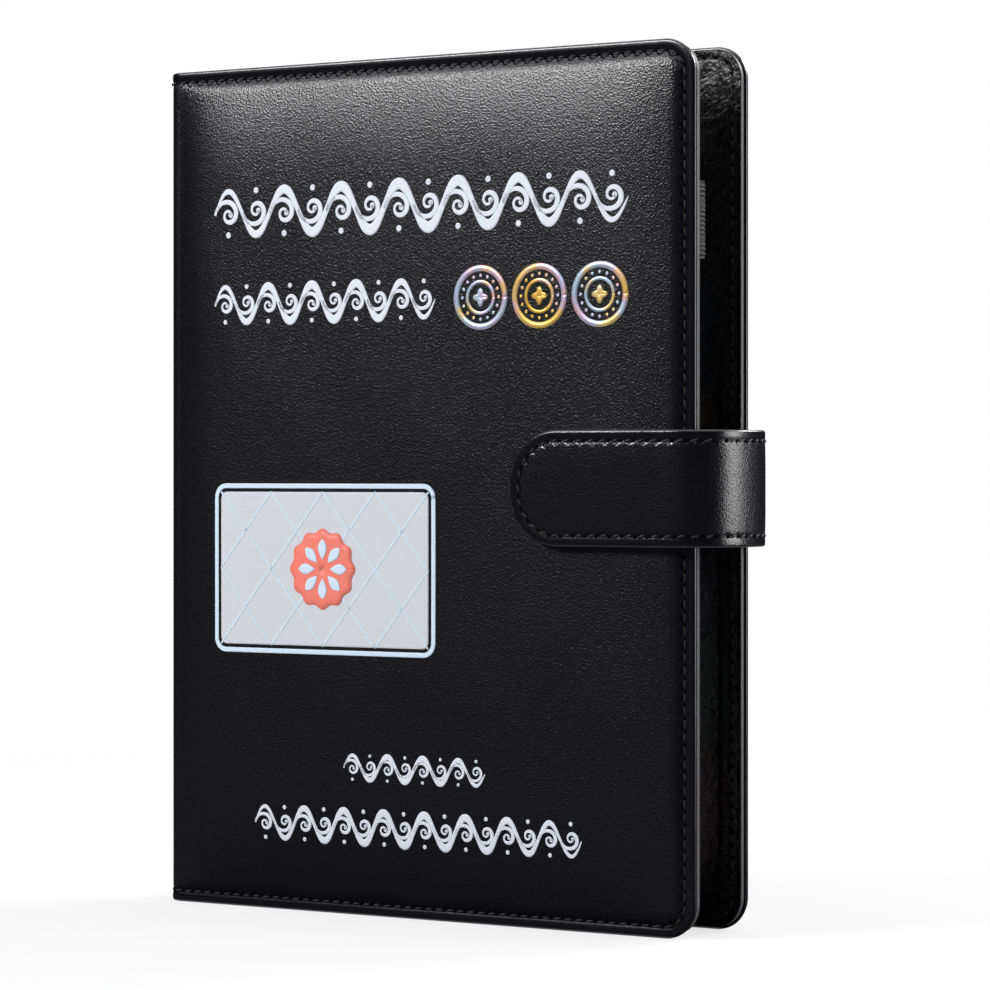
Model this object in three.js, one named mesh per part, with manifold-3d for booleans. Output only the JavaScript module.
// A cash envelope wallet: a padded case folded from one sheet of imitation leather,
// six binder rings on the inside of its spine, and a strap that snaps over the fore edge.
// It stands upright. +Z is up, the front cover faces -Y, and the spine is on the -X side.
// Pieces are drawn in the book's own frame, in millimetres: x runs from the spine's outer
// face, y from the front cover's edge, z from the foot. The last lines centre the book.
import * as THREE from "three";
import { mergeVertices } from "three/addons/utils/BufferGeometryUtils.js";
import Module from "manifold-3d";

const wasm = await Module();
wasm.setup();

// Case
const CASE_HEIGHT = 230;
const CASE_WIDTH = 172;
const CASE_DEPTH = 27;
const CORNER_RADIUS = 9;
const FOLD_RADIUS = 5;
const SKIN = 1.4;
const LINING = 1.6;
const LAYER_GAP = 0.3;
const EDGE_STEP = 0.4;

// Padding: how high the covers swell past their flat sewn margin, and over what distance
const SEAM_MARGIN = 3.4;
const PAD_RISE = 2.3;
const PAD_REACH = 38;
const SPINE_REACH = 26;
const LIP_RISE = 0.95;
const LIP_REACH = 3.6;
const LIP_SPINE_REACH = 14;
const PUFF_POWER = 2.5;

// Stiffening boards and foam
const BOARD = 1.1;
const BOARD_INSET = 8;
const BOARD_CORNER = 3;
const BOARD_SPINE_CORNER = 1;
const SPINE_BOARD = 1.8;
const SPINE_BOARD_WIDTH = 17;
const FOAM_INSET = 18;
const FOAM_SPINE_INSET = 16;
const BOARD_SPINE_INSET = 9;

// Strap
const STRAP_WIDTH = 30;
const STRAP_TIP = 52.7;
const STRAP_TAIL = 48;
const STRAP_FACE = 1.3;
const STRAP_BACKING = 1.1;
const STRAP_STAND_OFF = 0.4;
const STRAP_BULGE = 15.4;
const STRAP_TURN = 8;
const STRAP_SQUARENESS = 2.6;
const STRAP_TIP_FLAT = 1;
const STRAP_LEG_START = 13;
const STRAP_LEG_STEPS = 6;
const STRAP_BEND_STEPS = 20;
const HINGE_GAP = 0.4;
const MAGNET_RADIUS = 6;
const MAGNET_THICKNESS = 1;
const MAGNET_FROM_TIP = 16;

// Pen loop
const PEN_LOOP_RADIUS = 6;
const PEN_LOOP_BAND = 0.9;
const PEN_LOOP_WIDTH = 20;
const PEN_LOOP_CENTRE_Z = 184;
const PEN_LOOP_FROM_EDGE = 9.4;

// Pockets on the lining
const POCKET_SHEET = 0.8;
const POCKET_INSET = 7;
const POCKET_FROM_SPINE = 27;
const POCKET_CORNER = 2;
const POCKET_LOOP_GAP = 2;
const POCKET_HEIGHT = 148;
const CARD_WIDTH = 62;
const CARD_HEIGHT = 92;
const CARD_SLOTS = 3;
const CARD_STEP = 13;
const CARD_SHEET = 0.5;
const CARD_INSET = 12;
const CARD_CORNER = 1.5;

// Binder rings
const RING_RADIUS = 6.6;
const RING_WIRE = 2.8;
const RING_HEEL = 3.6;
const RING_OFFSETS = [-73, -54, -35, 35, 54, 73];
const RING_STEPS = 9;
const WIRE_SIDES = 8;
const HINGE_PLATE = 1;
const HINGE_PLATE_WIDTH = 5.6;
const HINGE_PLATE_LENGTH = 160;
const RING_PLATE_LENGTH = 190;
const RING_PLATE_HALF = 5;
const RING_PLATE = 0.8;
const RING_PLATE_DOME = 1.6;
const RING_NOTCH_FROM = 1.9;
const RIVET_RADIUS = 2;
const RIVET_HEAD_RADIUS = 3.2;
const RIVET_HEAD = 1;
const RIVET_FROM_END = 7;
const PLATE_END_GAP = 1;

// Cash envelopes on the rings
const ENVELOPES = 6;
const ENVELOPE_SHEET = 0.9;
const ENVELOPE_PITCH = 1.3;
const ENVELOPE_LOOP_GAP = 0.8;
const ENVELOPE_HEIGHT = 208;
const ENVELOPE_HOLE_INSET = 6;
const ENVELOPE_HOLE_RADIUS = 3;
const ENVELOPE_HOLE_SLACK = 0.6;
const ENVELOPE_CORNER = 5;
const TAB_HEIGHT = 30;
const TAB_REACH = 5;
const TAB_GAP = 1;
const TAB_CORNER = 3;

// Printing on the front cover, each field in a thin layer of ink. Fields keep their distance
// from the cover's spine, head, foot and fore edge.
const INK = 0.25;
const INK_LIFT = 0.12;
const INK_GRID = 8;
const PRINT_FROM_SPINE = 20;
const PRINT_FROM_FORE = 18;
const HEAD_BAND_DROP = 40;
const COIN_ROW_DROP = 65;
const FOOT_BAND_RISE = 40;
const TAIL_BAND_RISE = 24;
const COIN_ROW_GAP = 6;
const FOOT_BAND_INDENT = 44;
const TAIL_BAND_INDENT = 14;
const COINS = 3;
const COIN_RADIUS = 8.5;
const COIN_RIM = 2;
const COIN_PITCH = 18.5;
const PANEL_WIDTH = 74;
const PANEL_HEIGHT = 46;
const PANEL_RISE = 70;
const PANEL_LINE = 1.3;
const PANEL_LINE_GAP = 1.2;
const PANEL_CORNER = 3.6;
const ROSETTE_RADIUS = 10.5;

// Fit
const GAP = 0.3;
const ARC_STEPS = 6;

const MID_Y = CASE_DEPTH / 2;
const MID_Z = CASE_HEIGHT / 2;

function manifoldOf(geometry) {
  const bare = new THREE.BufferGeometry()
    .setAttribute("position", geometry.getAttribute("position").clone())
    .setIndex(geometry.index);
  const merged = mergeVertices(bare, 1e-4);
  return new wasm.Manifold(
    new wasm.Mesh({
      numProp: 3,
      vertProperties: merged.getAttribute("position").array,
      triVerts: new Uint32Array(merged.index.array),
    }),
  );
}

function geometryOf(solid) {
  const mesh = solid.getMesh();
  const geometry = new THREE.BufferGeometry();
  geometry.setAttribute("position", new THREE.BufferAttribute(mesh.vertProperties, 3));
  geometry.setIndex(new THREE.BufferAttribute(mesh.triVerts, 1));
  geometry.computeVertexNormals();
  return geometry;
}

// A flat outline in the xy plane, raised along z from low to high.
function raisedXY(points, low, high) {
  const shape = new THREE.Shape(points);
  const geometry = new THREE.ExtrudeGeometry(shape, { depth: high - low, bevelEnabled: false });
  return manifoldOf(geometry.translate(0, 0, low));
}

// An outline in the xz plane, given as (x, z), raised along y from low to high.
function raisedXZ(shape, low, high, curveSegments = ARC_STEPS) {
  const depth = high - low;
  const geometry = new THREE.ExtrudeGeometry(shape, { depth, bevelEnabled: false, curveSegments });
  return manifoldOf(geometry.rotateX(Math.PI / 2).translate(0, high, 0));
}

// A rectangle in the xz plane whose four corners have their own radii.
function roundedShape(x0, x1, z0, z1, leftRadius, rightRadius) {
  const shape = new THREE.Shape();
  shape.moveTo(x0 + leftRadius, z0);
  shape.lineTo(x1 - rightRadius, z0);
  if (rightRadius) shape.absarc(x1 - rightRadius, z0 + rightRadius, rightRadius, -Math.PI / 2, 0);
  shape.lineTo(x1, z1 - rightRadius);
  if (rightRadius) shape.absarc(x1 - rightRadius, z1 - rightRadius, rightRadius, 0, Math.PI / 2);
  shape.lineTo(x0 + leftRadius, z1);
  if (leftRadius) shape.absarc(x0 + leftRadius, z1 - leftRadius, leftRadius, Math.PI / 2, Math.PI);
  shape.lineTo(x0, z0 + leftRadius);
  if (leftRadius) shape.absarc(x0 + leftRadius, z0 + leftRadius, leftRadius, Math.PI, 1.5 * Math.PI);
  return shape;
}

function box(x0, x1, y0, y1, z0, z1) {
  const geometry = new THREE.BoxGeometry(x1 - x0, y1 - y0, z1 - z0);
  return manifoldOf(geometry.translate((x0 + x1) / 2, (y0 + y1) / 2, (z0 + z1) / 2));
}

// The cylinder runs along y when alongY is set, and along x otherwise.
function disc(x, y, z, radius, thickness, alongY, sides = 24) {
  const geometry = new THREE.CylinderGeometry(radius, radius, thickness, sides);
  if (!alongY) geometry.rotateZ(Math.PI / 2);
  return manifoldOf(geometry.translate(x, y, z));
}

// Swelling of the padded covers
const ease = (t) => 1 - Math.pow(1 - Math.min(1, Math.max(0, t)), PUFF_POWER);

function padHeight(x, z) {
  const fore = CASE_WIDTH - SEAM_MARGIN - x;
  const head = CASE_HEIGHT - SEAM_MARGIN - z;
  const foot = z - SEAM_MARGIN;
  const spine = x - FOLD_RADIUS;
  const crown =
    ease(fore / PAD_REACH) * ease(head / PAD_REACH) * ease(foot / PAD_REACH) * ease(spine / SPINE_REACH);
  const lip =
    ease(fore / LIP_REACH) * ease(head / LIP_REACH) * ease(foot / LIP_REACH) * ease(spine / LIP_SPINE_REACH);
  return PAD_RISE * crown + LIP_RISE * lip;
}

// Distances in from a sewn edge at which the swelling needs a row of points
const SWELL_STEPS = [0, LIP_REACH / 3, LIP_REACH, PAD_REACH * 0.2, PAD_REACH * 0.45, PAD_REACH];

function rowsAlong(length, lowSteps, highSteps) {
  const low = [0, ...lowSteps];
  const high = [0, ...highSteps].map((d) => length - d).reverse();
  const all = [...low, ...high].sort((a, b) => a - b);
  return all.filter((v, i) => i === 0 || v - all[i - 1] > 0.2);
}

const SEWN_STEPS = SWELL_STEPS.map((d) => d + SEAM_MARGIN);
const SPINE_STEPS = [0.15, 0.35, 0.6, 1].map((share) => FOLD_RADIUS + share * SPINE_REACH);
const Z_ROWS = rowsAlong(CASE_HEIGHT, SEWN_STEPS, SEWN_STEPS);
const X_ROWS = rowsAlong(CASE_WIDTH, [FOLD_RADIUS, ...SPINE_STEPS], SEWN_STEPS).filter(
  (x) => x >= FOLD_RADIUS,
);

// The case's outer line seen from above: front cover, spine, back cover.
function caseStations() {
  const front = X_ROWS.map((x) => ({ x, y: 0, nx: 0, ny: -1, padded: true })).reverse();
  const back = X_ROWS.map((x) => ({ x, y: CASE_DEPTH, nx: 0, ny: 1, padded: true }));
  const turn = (cy, from) =>
    Array.from({ length: ARC_STEPS - 1 }, (_, i) => {
      const angle = from - ((i + 1) / ARC_STEPS) * (Math.PI / 2);
      const nx = Math.cos(angle);
      const ny = Math.sin(angle);
      return { x: FOLD_RADIUS * (1 + nx), y: cy + FOLD_RADIUS * ny, nx, ny };
    });
  const spine = [
    { x: 0, y: FOLD_RADIUS, nx: -1, ny: 0 },
    { x: 0, y: CASE_DEPTH - FOLD_RADIUS, nx: -1, ny: 0 },
  ];
  const firstTurn = turn(FOLD_RADIUS, 1.5 * Math.PI);
  const lastTurn = turn(CASE_DEPTH - FOLD_RADIUS, Math.PI);
  return [...front, ...firstTurn, ...spine, ...lastTurn, ...back];
}

// A closed sheet between two grids of points that share one layout.
function sheetBetween(outer, inner) {
  const columns = outer.length;
  const rows = outer[0].length;
  const positions = [...outer.flat(2), ...inner.flat(2)];
  const id = (side, i, j) => side * columns * rows + i * rows + j;
  const faces = [];
  const quad = (a, b, c, d) => faces.push(a, b, c, a, c, d);
  for (let i = 0; i + 1 < columns; i++)
    for (let j = 0; j + 1 < rows; j++) {
      quad(id(0, i, j), id(0, i, j + 1), id(0, i + 1, j + 1), id(0, i + 1, j));
      quad(id(1, i, j), id(1, i + 1, j), id(1, i + 1, j + 1), id(1, i, j + 1));
    }
  for (let i = 0; i + 1 < columns; i++) {
    quad(id(0, i, 0), id(0, i + 1, 0), id(1, i + 1, 0), id(1, i, 0));
    quad(id(0, i, rows - 1), id(1, i, rows - 1), id(1, i + 1, rows - 1), id(0, i + 1, rows - 1));
  }
  for (let j = 0; j + 1 < rows; j++) {
    quad(id(0, 0, j), id(1, 0, j), id(1, 0, j + 1), id(0, 0, j + 1));
    quad(id(0, columns - 1, j), id(0, columns - 1, j + 1), id(1, columns - 1, j + 1), id(1, columns - 1, j));
  }
  const geometry = new THREE.BufferGeometry();
  geometry.setAttribute("position", new THREE.BufferAttribute(new Float32Array(positions), 3));
  geometry.setIndex(faces);
  const solid = manifoldOf(geometry);
  if (solid.volume() >= 0) return solid;
  const turned = [];
  for (let i = 0; i < faces.length; i += 3) turned.push(faces[i], faces[i + 2], faces[i + 1]);
  geometry.setIndex(turned);
  return manifoldOf(geometry);
}

// Both covers' outline, with round corners at the fore edge, set in by an inset.
function coverOutline(inset) {
  const reach = 2 * PAD_RISE + CASE_DEPTH;
  const shape = roundedShape(
    -reach, CASE_WIDTH - inset, inset, CASE_HEIGHT - inset, 0, CORNER_RADIUS - inset,
  );
  return raisedXZ(shape, -reach, CASE_DEPTH + reach);
}

function outerCover() {
  const stations = caseStations();
  const grid = (offset) =>
    stations.map((s) =>
      Z_ROWS.map((z) => {
        const out = (s.padded ? padHeight(s.x, z) : 0) - offset;
        return [s.x + s.nx * out, s.y + s.ny * out, z];
      }),
    );
  return sheetBetween(grid(0), grid(SKIN)).intersect(coverOutline(0));
}

// The lining steps in at the spine, where the spine board lies behind it.
const LINING_OUTER = SKIN + LAYER_GAP;
const LINING_INNER = LINING_OUTER + LINING;
const SPINE_LINING_OUTER = SKIN + SPINE_BOARD + 2 * LAYER_GAP;
const SPINE_LINING_INNER = SPINE_LINING_OUTER + LINING;

function liningSheet() {
  const line = (depth, spineDepth) => {
    const radius = FOLD_RADIUS;
    const far = CASE_DEPTH - depth;
    const fold = (y, side) => (i) => {
      const angle = (i / ARC_STEPS) * (Math.PI / 2);
      const x = spineDepth + radius * (1 - Math.sin(angle));
      return new THREE.Vector2(x, y + side * radius * (1 - Math.cos(angle)));
    };
    const steps = Array.from({ length: ARC_STEPS + 1 }, (_, i) => i);
    const nearFold = steps.map(fold(depth, 1));
    const farFold = steps.map(fold(far, -1)).reverse();
    const ends = [depth, far].map((y) => new THREE.Vector2(CASE_WIDTH, y));
    return [ends[0], ...nearFold, ...farFold, ends[1]];
  };
  const outer = line(LINING_OUTER, SPINE_LINING_OUTER);
  const inner = line(LINING_INNER, SPINE_LINING_INNER);
  const sheet = raisedXY([...outer, ...inner.reverse()], 0, CASE_HEIGHT);
  return rivetHoles(sheet.intersect(coverOutline(EDGE_STEP)), SPINE_LINING_OUTER);
}

// The two rivets that hold the ring mechanism pass through a piece near this x.
const RIVET_HEIGHTS = [-1, 1].map((end) => MID_Z + end * (RING_PLATE_LENGTH / 2 - RIVET_FROM_END));

function rivetHoles(piece, x) {
  const length = 4 * (SPINE_LINING_INNER + RING_PLATE_DOME);
  return RIVET_HEIGHTS.reduce(
    (left, z) => left.subtract(disc(x, MID_Y, z, RIVET_RADIUS + GAP, length, false)),
    piece,
  );
}

// side is -1 on the front cover and 1 on the back cover.
const coverY = (side, depth) => (side < 0 ? depth : CASE_DEPTH - depth);
const span = (a, b) => [Math.min(a, b), Math.max(a, b)];

function coverBoard(side) {
  const inset = SEAM_MARGIN + BOARD_INSET;
  const near = LINING_OUTER - LAYER_GAP / 2;
  const [y0, y1] = span(coverY(side, near - BOARD), coverY(side, near));
  const x0 = FOLD_RADIUS + BOARD_SPINE_INSET;
  const x1 = CASE_WIDTH - inset;
  const shape = roundedShape(x0, x1, inset, CASE_HEIGHT - inset, BOARD_SPINE_CORNER, BOARD_CORNER);
  return raisedXZ(shape, y0, y1, 3);
}

function spineBoard() {
  const x0 = SKIN + LAYER_GAP;
  const y0 = MID_Y - SPINE_BOARD_WIDTH / 2;
  const y1 = MID_Y + SPINE_BOARD_WIDTH / 2;
  const z1 = CASE_HEIGHT - SEAM_MARGIN;
  return rivetHoles(box(x0, x0 + SPINE_BOARD, y0, y1, SEAM_MARGIN, z1), x0);
}

function foamPad(side) {
  const inset = SEAM_MARGIN + FOAM_INSET;
  const board = LINING_OUTER - LAYER_GAP / 2 - BOARD - LAYER_GAP;
  const within = (values, low, high) => [low, ...values.filter((v) => v > low + 1 && v < high - 1), high];
  const xs = within(X_ROWS, FOLD_RADIUS + FOAM_SPINE_INSET, CASE_WIDTH - inset);
  const zs = within(Z_ROWS, inset, CASE_HEIGHT - inset);
  const grid = (depthAt) => xs.map((x) => zs.map((z) => [x, coverY(side, depthAt(x, z)), z]));
  const pad = sheetBetween(
    grid((x, z) => SKIN + LAYER_GAP - padHeight(x, z)),
    grid(() => board),
  );
  if (side > 0) return pad;
  return pad.subtract(disc(magnetX, 0, MID_Z, MAGNET_RADIUS + GAP, 4 * PAD_RISE, true));
}

// The magnet in the front cover lies in a hole of the foam, under the one in the strap.
function coverMagnet() {
  const board = LINING_OUTER - LAYER_GAP / 2 - BOARD;
  return disc(magnetX, board - MAGNET_THICKNESS / 2, MID_Z, MAGNET_RADIUS, MAGNET_THICKNESS, true);
}

// The strap's middle line seen from above, from its tip on the front cover, round the
// fore edge, to its tail on the back cover. Each station is a point and its outward normal.
const STRAP_THICKNESS = STRAP_FACE + LAYER_GAP + STRAP_BACKING;
const strapRest = (x) => padHeight(x, MID_Z) + STRAP_STAND_OFF + STRAP_THICKNESS / 2;
const turnX = CASE_WIDTH - STRAP_TURN;
const magnetX = CASE_WIDTH - STRAP_TIP + MAGNET_FROM_TIP;

function strapLine() {
  const rest = strapRest(turnX);
  const legXs = (end) =>
    Array.from({ length: STRAP_LEG_STEPS + 1 }, (_, i) => {
      return CASE_WIDTH - end + ((end - STRAP_LEG_START) * i) / STRAP_LEG_STEPS;
    });
  const points = legXs(STRAP_TIP).map((x) => new THREE.Vector2(x, -strapRest(x)));
  const tall = MID_Y + rest;
  for (let i = 0; i <= STRAP_BEND_STEPS; i++) {
    const angle = -Math.PI / 2 + (Math.PI * i) / STRAP_BEND_STEPS;
    const power = 2 / STRAP_SQUARENESS;
    const across = Math.pow(Math.abs(Math.cos(angle)), power);
    const along = Math.sign(Math.sin(angle)) * Math.pow(Math.abs(Math.sin(angle)), power);
    points.push(new THREE.Vector2(turnX + STRAP_BULGE * across, MID_Y + tall * along));
  }
  legXs(STRAP_TAIL)
    .reverse()
    .forEach((x) => points.push(new THREE.Vector2(x, CASE_DEPTH + strapRest(x))));
  return points;
}

function withNormals(points) {
  return points.map((point, i) => {
    const before = points[Math.max(0, i - 1)];
    const after = points[Math.min(points.length - 1, i + 1)];
    const along = after.clone().sub(before).normalize();
    return { point, normal: new THREE.Vector2(along.y, -along.x) };
  });
}

// A layer of the strap between two distances from its middle line, outward positive.
function strapLayer(stations, inner, outer) {
  const offset = (distance) =>
    stations.map(({ point, normal }) => point.clone().addScaledVector(normal, distance));
  const outline = [...offset(outer), ...offset(inner).reverse()];
  return raisedXY(outline, MID_Z - STRAP_WIDTH / 2, MID_Z + STRAP_WIDTH / 2);
}

function strapTipOutline() {
  const x0 = CASE_WIDTH - STRAP_TIP;
  const z0 = MID_Z - STRAP_WIDTH / 2;
  const z1 = MID_Z + STRAP_WIDTH / 2;
  const shape = roundedShape(x0, 2 * CASE_WIDTH, z0, z1, (STRAP_WIDTH - STRAP_TIP_FLAT) / 2, 0);
  return raisedXZ(shape, -CASE_DEPTH, 2 * CASE_DEPTH, 12);
}

const strapStations = withNormals(strapLine());
const lastFlapStation = strapStations.findLastIndex(
  ({ point }) => point.y > MID_Y && point.x > turnX - 0.01,
);
const flapStations = strapStations.slice(0, lastFlapStation + 1);
const baseStations = strapStations.slice(lastFlapStation);
const FACE_INNER = STRAP_BACKING + LAYER_GAP - STRAP_THICKNESS / 2;
const magnetY = -strapRest(magnetX) + STRAP_THICKNESS / 2 - STRAP_BACKING - LAYER_GAP / 2;

function magnetPocket() {
  return disc(magnetX, magnetY, MID_Z, MAGNET_RADIUS + GAP, MAGNET_THICKNESS + 2 * GAP, true);
}

// Trims a piece back from the line on which the strap hinges.
function clearOfHinge(piece, side) {
  const reach = CASE_WIDTH;
  const y0 = MID_Y + MID_Y / 2;
  const [x0, x1] = side > 0 ? [turnX - reach, turnX + HINGE_GAP / 2] : [turnX - HINGE_GAP / 2, turnX + reach];
  return piece.subtract(box(x0, x1, y0, y0 + reach, 0, CASE_HEIGHT));
}

function strapFlapFace() {
  const layer = strapLayer(flapStations, FACE_INNER, STRAP_THICKNESS / 2);
  return clearOfHinge(layer.intersect(strapTipOutline()).subtract(magnetPocket()), 1);
}

function strapFlapBacking() {
  const layer = strapLayer(flapStations, -STRAP_THICKNESS / 2, STRAP_BACKING - STRAP_THICKNESS / 2);
  return clearOfHinge(layer.intersect(strapTipOutline()).subtract(magnetPocket()), 1);
}

function strapBase() {
  const layer = strapLayer(baseStations, -STRAP_THICKNESS / 2, STRAP_THICKNESS / 2);
  return clearOfHinge(layer, -1);
}

function penLoop() {
  const x = CASE_WIDTH - PEN_LOOP_FROM_EDGE;
  const y = LINING_INNER + PEN_LOOP_RADIUS;
  const shape = new THREE.Shape();
  const root = -Math.PI / 2;
  const reach = PEN_LOOP_FROM_EDGE - EDGE_STEP - GAP;
  const open = Math.acos(1 - PEN_LOOP_BAND / PEN_LOOP_RADIUS);
  shape.moveTo(x + reach, LINING_INNER);
  shape.lineTo(x + reach, LINING_INNER + PEN_LOOP_BAND);
  shape.lineTo(x + PEN_LOOP_RADIUS * Math.sin(open), LINING_INNER + PEN_LOOP_BAND);
  shape.absarc(x, y, PEN_LOOP_RADIUS, root + open, root + 2 * Math.PI, false);
  const hole = new THREE.Path().absarc(x, y, PEN_LOOP_RADIUS - PEN_LOOP_BAND, 0, 2 * Math.PI, true);
  shape.holes.push(hole);
  const geometry = new THREE.ExtrudeGeometry(shape, {
    depth: PEN_LOOP_WIDTH,
    bevelEnabled: false,
    curveSegments: 28,
  });
  return manifoldOf(geometry.translate(0, 0, PEN_LOOP_CENTRE_Z - PEN_LOOP_WIDTH / 2));
}

function slipPocket(side) {
  const [y0, y1] = span(coverY(side, LINING_INNER), coverY(side, LINING_INNER + POCKET_SHEET));
  const besideLoop = PEN_LOOP_FROM_EDGE + PEN_LOOP_RADIUS + POCKET_LOOP_GAP;
  const x1 = CASE_WIDTH - (side < 0 ? besideLoop : POCKET_INSET);
  const [z0, z1] = [POCKET_INSET, POCKET_INSET + POCKET_HEIGHT];
  return raisedXZ(roundedShape(POCKET_FROM_SPINE, x1, z0, z1, POCKET_CORNER, POCKET_CORNER), y0, y1, 3);
}

function cardSlot(index) {
  const y0 = LINING_INNER + POCKET_SHEET + index * CARD_SHEET;
  const x0 = POCKET_FROM_SPINE + CARD_INSET;
  const z0 = POCKET_INSET + CARD_INSET;
  const z1 = z0 + CARD_HEIGHT - index * CARD_STEP;
  const shape = roundedShape(x0, x0 + CARD_WIDTH, z0, z1, CARD_CORNER, CARD_CORNER);
  return raisedXZ(shape, y0, y0 + CARD_SHEET, 3);
}

// Ring mechanism. Each hinge plate carries one half of every ring, and turns about its own
// outer edge under a sprung cover plate.
const hingePlateX = SPINE_LINING_INNER + GAP;
const ringPlateX = hingePlateX + HINGE_PLATE + GAP;
const ringCentreX =
  hingePlateX + HINGE_PLATE + RING_RADIUS * Math.cos(Math.asin(RING_HEEL / RING_RADIUS));

function hingePlate(side) {
  const inner = MID_Y + side * (GAP / 2);
  const [y0, y1] = span(inner, inner + side * HINGE_PLATE_WIDTH);
  const half = HINGE_PLATE_LENGTH / 2;
  return box(hingePlateX, hingePlateX + HINGE_PLATE, y0, y1, MID_Z - half, MID_Z + half);
}

// The cover plate is a shallow arch with round lobes. Its ends are pressed down onto the
// lining beyond the hinge plates, and its sides are notched where the rings come out.
function ringPlate() {
  const shares = Array.from({ length: 9 }, (_, i) => i / 4 - 1);
  const arch = (lift) =>
    shares.map((share) => {
      const rise = RING_PLATE_DOME * (1 - share * share);
      return new THREE.Vector2(ringPlateX + rise + lift, MID_Y + share * RING_PLATE_HALF);
    });
  const foot = shares.map((share) => {
    return new THREE.Vector2(SPINE_LINING_INNER, MID_Y + share * RING_PLATE_HALF);
  });
  const half = RING_PLATE_LENGTH / 2;
  const shell = raisedXY([...arch(RING_PLATE), ...arch(0).reverse()], MID_Z - half, MID_Z + half);
  const block = raisedXY([...arch(RING_PLATE), ...foot.reverse()], MID_Z - half, MID_Z + half);
  const between = HINGE_PLATE_LENGTH / 2 + PLATE_END_GAP;
  const middle = box(0, 4 * ringPlateX, 0, CASE_DEPTH, MID_Z - between, MID_Z + between);
  const lobes = new THREE.Shape();
  lobes.absarc(MID_Y, MID_Z + half - RING_PLATE_HALF, RING_PLATE_HALF, 0, Math.PI);
  lobes.absarc(MID_Y, MID_Z - half + RING_PLATE_HALF, RING_PLATE_HALF, Math.PI, 2 * Math.PI);
  const depth = 2 * ringPlateX;
  const prism = new THREE.ExtrudeGeometry(lobes, { depth, bevelEnabled: false, curveSegments: 10 });
  prism.applyMatrix4(new THREE.Matrix4().set(0, 0, 1, 0, 1, 0, 0, 0, 0, 1, 0, 0, 0, 0, 0, 1));
  const plate = rivetHoles(shell.add(block.subtract(middle)).intersect(manifoldOf(prism)), ringPlateX);
  const notchHalf = RING_WIRE / 2 + GAP + LAYER_GAP;
  return RING_OFFSETS.reduce((left, dz) => {
    const [z0, z1] = [MID_Z + dz - notchHalf, MID_Z + dz + notchHalf];
    const near = box(0, 4 * ringPlateX, 0, MID_Y - RING_NOTCH_FROM, z0, z1);
    const far = box(0, 4 * ringPlateX, MID_Y + RING_NOTCH_FROM, CASE_DEPTH, z0, z1);
    return left.subtract(near).subtract(far);
  }, plate);
}

// A rivet: a shank through plate, lining and spine board, and a domed head on the plate.
function rivet(z) {
  const x0 = SKIN + LAYER_GAP + LAYER_GAP / 3;
  const seat = ringPlateX + RING_PLATE_DOME + RING_PLATE + GAP;
  const profile = [
    new THREE.Vector2(0, x0),
    new THREE.Vector2(RIVET_RADIUS, x0),
    new THREE.Vector2(RIVET_RADIUS, seat),
    new THREE.Vector2(RIVET_HEAD_RADIUS, seat),
    new THREE.Vector2(RIVET_HEAD_RADIUS, seat + RIVET_HEAD * 0.4),
    new THREE.Vector2(RIVET_HEAD_RADIUS * 0.7, seat + RIVET_HEAD * 0.85),
    new THREE.Vector2(0, seat + RIVET_HEAD),
  ];
  const turned = new THREE.LatheGeometry(profile, 20).rotateZ(-Math.PI / 2);
  return manifoldOf(turned.translate(0, MID_Y, z));
}

// Half a ring: wire bent from its hinge plate round to the gap over the ring's middle.
class RingArc extends THREE.Curve {
  constructor(side, z, from, to) {
    super();
    Object.assign(this, { side, z, from, to });
  }
  getPoint(t) {
    const angle = this.from + (this.to - this.from) * t;
    const x = ringCentreX + RING_RADIUS * Math.cos(angle);
    return new THREE.Vector3(x, MID_Y + this.side * RING_RADIUS * Math.sin(angle), this.z);
  }
}

function ringHalf(side, z) {
  const meeting = GAP / 2 / RING_RADIUS;
  const from = Math.PI - Math.asin((RING_HEEL - RING_WIRE / 2) / RING_RADIUS);
  const path = new RingArc(side, z, from, meeting);
  const section = new THREE.Shape();
  for (let i = 0; i < WIRE_SIDES; i++) {
    const angle = (2 * Math.PI * (i + 0.5)) / WIRE_SIDES;
    const place = [(RING_WIRE / 2) * Math.cos(angle), (RING_WIRE / 2) * Math.sin(angle)];
    if (i) section.lineTo(...place);
    else section.moveTo(...place);
  }
  const wire = manifoldOf(
    new THREE.ExtrudeGeometry(section, { steps: RING_STEPS, extrudePath: path, bevelEnabled: false }),
  );
  return wire.subtract(box(0, hingePlateX + HINGE_PLATE, 0, CASE_DEPTH, 0, CASE_HEIGHT));
}

// Envelopes hang where their holes meet the rings, so the middle ones stand out furthest.
// The tabs of those just clear the pen loop.
const envelopeHoleX = (offset) => ringCentreX + Math.sqrt(RING_RADIUS ** 2 - offset ** 2);
const ENVELOPE_REACH = CASE_WIDTH - PEN_LOOP_FROM_EDGE - PEN_LOOP_RADIUS - ENVELOPE_LOOP_GAP - TAB_REACH;
const ENVELOPE_WIDTH = ENVELOPE_REACH - envelopeHoleX(ENVELOPE_PITCH / 2) + ENVELOPE_HOLE_INSET;

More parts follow.
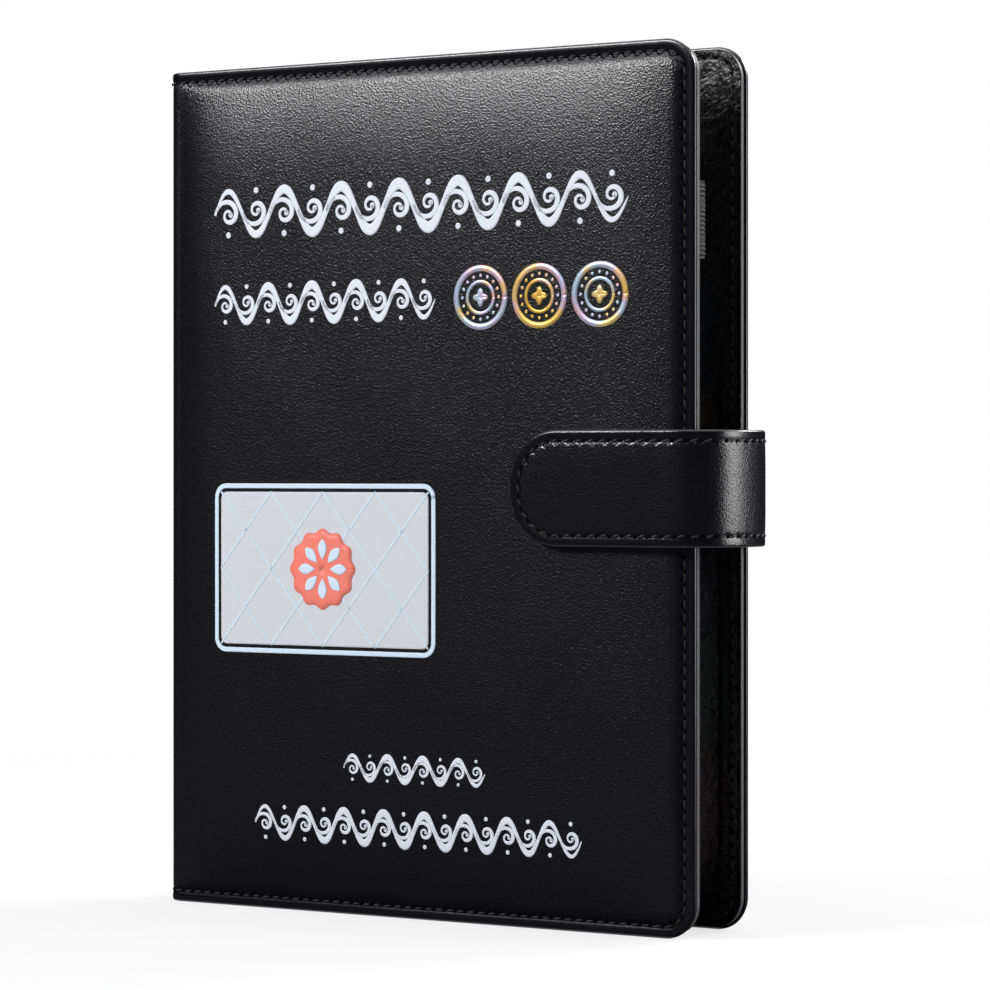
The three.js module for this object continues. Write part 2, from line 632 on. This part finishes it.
function envelopeLeaf(index) {
  const offset = (index - (ENVELOPES - 1) / 2) * ENVELOPE_PITCH;
  const holeX = envelopeHoleX(offset);
  const holeCentreX = holeX + ENVELOPE_HOLE_SLACK;
  const x0 = holeX - ENVELOPE_HOLE_INSET;
  const x1 = x0 + ENVELOPE_WIDTH;
  const z0 = MID_Z - ENVELOPE_HEIGHT / 2;
  const z1 = MID_Z + ENVELOPE_HEIGHT / 2;
  const y0 = MID_Y + offset - ENVELOPE_SHEET / 2;
  const outline = roundedShape(x0, x1, z0, z1, ENVELOPE_CORNER, ENVELOPE_CORNER);
  const sheet = raisedXZ(outline, y0, y0 + ENVELOPE_SHEET, 4);
  const tabLow = z0 + ENVELOPE_CORNER + index * (TAB_HEIGHT + TAB_GAP);
  const tab = roundedShape(x1 - TAB_REACH, x1 + TAB_REACH, tabLow, tabLow + TAB_HEIGHT, 0, TAB_CORNER);
  const whole = sheet.add(raisedXZ(tab, y0 + ENVELOPE_SHEET / 4, y0 + (3 * ENVELOPE_SHEET) / 4, 3));
  const hole = (dz) => disc(holeCentreX, MID_Y, MID_Z + dz, ENVELOPE_HOLE_RADIUS, CASE_DEPTH, true, 12);
  return RING_OFFSETS.reduce((left, dz) => left.subtract(hole(dz)), whole);
}

// Ink follows the swelling of the front cover.
function inkField(shape, x0, x1, z0, z1, layer = 0) {
  const steps = (low, high) => {
    const count = Math.max(2, Math.ceil((high - low) / INK_GRID));
    return Array.from({ length: count + 1 }, (_, i) => low + ((high - low) * i) / count);
  };
  const lift = INK_LIFT + layer * (INK + INK_LIFT);
  const grid = (extra) =>
    steps(x0, x1).map((x) => steps(z0, z1).map((z) => [x, -padHeight(x, z) - lift - extra, z]));
  return sheetBetween(grid(INK), grid(0)).intersect(raisedXZ(shape, -3 * PAD_RISE, PAD_RISE, 12));
}

// Motifs. A scroll is a wavy ribbon, wide in its middle and fine at its ends.
const printX0 = PRINT_FROM_SPINE;
const printX1 = CASE_WIDTH - PRINT_FROM_FORE;
const coinsX0 = printX1 - (COINS - 1) * COIN_PITCH - 2 * COIN_RADIUS;
const band = (name, x0, x1, z, swing, waves, weight) => {
  return { name, x: x0, width: x1 - x0, z, swing, waves, weight };
};
const SCROLLS = [
  band("ink_scroll_head", printX0, printX1, CASE_HEIGHT - HEAD_BAND_DROP, 6, 7, 3.4),
  band("ink_scroll_side", printX0, coinsX0 - COIN_ROW_GAP, CASE_HEIGHT - COIN_ROW_DROP, 4.5, 5, 2.6),
  band("ink_scroll_foot", printX0 + FOOT_BAND_INDENT, printX1 - FOOT_BAND_INDENT, FOOT_BAND_RISE, 3, 4, 1.8),
  band("ink_scroll_tail", printX0 + TAIL_BAND_INDENT, printX1 - TAIL_BAND_INDENT, TAIL_BAND_RISE, 4, 8, 2.4),
];

function scrollShape({ x, width, z, swing, waves, weight }) {
  const points = [];
  const count = waves * 8;
  const edge = (sign) => (i) => {
    const t = i / count;
    const half = (weight / 2) * (0.25 + 0.75 * Math.sin(Math.PI * t));
    return new THREE.Vector2(x + width * t, z + swing * Math.sin(2 * Math.PI * waves * t) + sign * half);
  };
  const steps = Array.from({ length: count + 1 }, (_, i) => i);
  points.push(...steps.map(edge(-1)), ...steps.map(edge(1)).reverse());
  return new THREE.Shape(points);
}

function inkScroll(scroll) {
  const reach = scroll.swing + scroll.weight;
  const { x, width, z } = scroll;
  return inkField(scrollShape(scroll), x - GAP, x + width + GAP, z - reach, z + reach);
}

function foilCoin(index) {
  const centre = coinsX0 + COIN_RADIUS + index * COIN_PITCH;
  const z = CASE_HEIGHT - COIN_ROW_DROP;
  const shape = new THREE.Shape().absarc(centre, z, COIN_RADIUS, 0, 2 * Math.PI);
  shape.holes.push(new THREE.Path().absarc(centre, z, COIN_RADIUS - COIN_RIM, 0, 2 * Math.PI, true));
  const reach = COIN_RADIUS + GAP;
  return inkField(shape, centre - reach, centre + reach, z - reach, z + reach);
}

// The panel: a framing line, a field inside it, and a rosette on the field's middle.
const panelX1 = printX0 + PANEL_WIDTH;
const panelZ1 = PANEL_RISE + PANEL_HEIGHT;

function panelShape(inset) {
  const [x0, z0] = [printX0 + inset, PANEL_RISE + inset];
  return roundedShape(x0, panelX1 - inset, z0, panelZ1 - inset, PANEL_CORNER - inset, PANEL_CORNER - inset);
}

function panelField(shape) {
  return inkField(shape, printX0 - GAP, panelX1 + GAP, PANEL_RISE - GAP, panelZ1 + GAP);
}

function panelLines() {
  const shape = panelShape(0);
  shape.holes.push(new THREE.Path(panelShape(PANEL_LINE).getPoints().reverse()));
  return panelField(shape);
}

function panelRosette() {
  const [cx, cz] = [(printX0 + panelX1) / 2, (PANEL_RISE + panelZ1) / 2];
  const shape = new THREE.Shape().absarc(cx, cz, ROSETTE_RADIUS, 0, 2 * Math.PI);
  const reach = ROSETTE_RADIUS + GAP;
  return inkField(shape, cx - reach, cx + reach, cz - reach, cz + reach, 1);
}

// Materials
const finish = (color, roughness, metalness = 0) => ({ color, roughness, metalness });
const LEATHER = finish(0x1e1e22, 0.5);
const LINING_CLOTH = finish(0x17171a, 0.42);
const BOARD_GREY = finish(0x8a8378, 0.9);
const FOAM = finish(0xd8d4c8, 0.95);
const STEEL = finish(0xc9ccd0, 0.22, 1);
const MAGNET = finish(0x9a9ca0, 0.35, 1);
const ELASTIC = finish(0x141416, 0.8);
const WHITE_INK = finish(0xe1e6f0, 0.6);
const LILAC_INK = finish(0xd7d5de, 0.6);
const BLUE_INK = finish(0xb9cfe6, 0.6);
const CORAL_INK = finish(0xf08073, 0.55);
const FOIL = finish(0xe6b450, 0.2, 1);
const PAPERS = [0xe7b9bf, 0xb9d2c8, 0xc8c3e0, 0xf0d9a8, 0xa9c6df, 0xe6c3a8];

const book = new THREE.Group();

function place(name, solid, material) {
  const mesh = new THREE.Mesh(geometryOf(solid), new THREE.MeshStandardMaterial(material));
  mesh.name = name;
  book.add(mesh);
}

place("outer_cover", outerCover(), LEATHER);
place("inner_lining", liningSheet(), LINING_CLOTH);
place("spine_board", spineBoard(), BOARD_GREY);
for (const [word, side] of [["front", -1], ["back", 1]]) {
  place(`${word}_board`, coverBoard(side), BOARD_GREY);
  place(`${word}_foam`, foamPad(side), FOAM);
  place(`${word}_slip_pocket`, slipPocket(side), LINING_CLOTH);
}
for (let i = 0; i < CARD_SLOTS; i++) place(`card_slot_${i + 1}`, cardSlot(i), LINING_CLOTH);
place("pen_loop", penLoop(), ELASTIC);
place("cover_magnet", coverMagnet(), MAGNET);
place("strap_base", strapBase(), LEATHER);
place("strap_face", strapFlapFace(), LEATHER);
place("strap_backing", strapFlapBacking(), LINING_CLOTH);
place("strap_magnet", disc(magnetX, magnetY, MID_Z, MAGNET_RADIUS, MAGNET_THICKNESS, true), MAGNET);
place("ring_cover_plate", ringPlate(), STEEL);
RIVET_HEIGHTS.forEach((z, i) => place(`rivet_${i + 1}`, rivet(z), STEEL));
for (const [word, side] of [["near", -1], ["far", 1]]) {
  place(`hinge_plate_${word}`, hingePlate(side), STEEL);
  RING_OFFSETS.forEach((dz, i) => place(`ring_${word}_${i + 1}`, ringHalf(side, MID_Z + dz), STEEL));
}
for (let i = 0; i < ENVELOPES; i++) {
  place(`cash_envelope_${i + 1}`, envelopeLeaf(i), finish(PAPERS[i % PAPERS.length], 0.5));
}
SCROLLS.forEach((scroll) => place(scroll.name, inkScroll(scroll), WHITE_INK));
for (let i = 0; i < COINS; i++) place(`foil_coin_${i + 1}`, foilCoin(i), FOIL);
place("ink_panel_face", panelField(panelShape(PANEL_LINE + PANEL_LINE_GAP)), LILAC_INK);
place("ink_panel_lines", panelLines(), BLUE_INK);
place("ink_panel_rosette", panelRosette(), CORAL_INK);

// The finished book stands with its foot on z = 0 and its whole outline centred on the origin.
const reachX = turnX + STRAP_BULGE + STRAP_THICKNESS / 2;
book.position.set(-reachX / 2, -MID_Y, 0);

export default book;
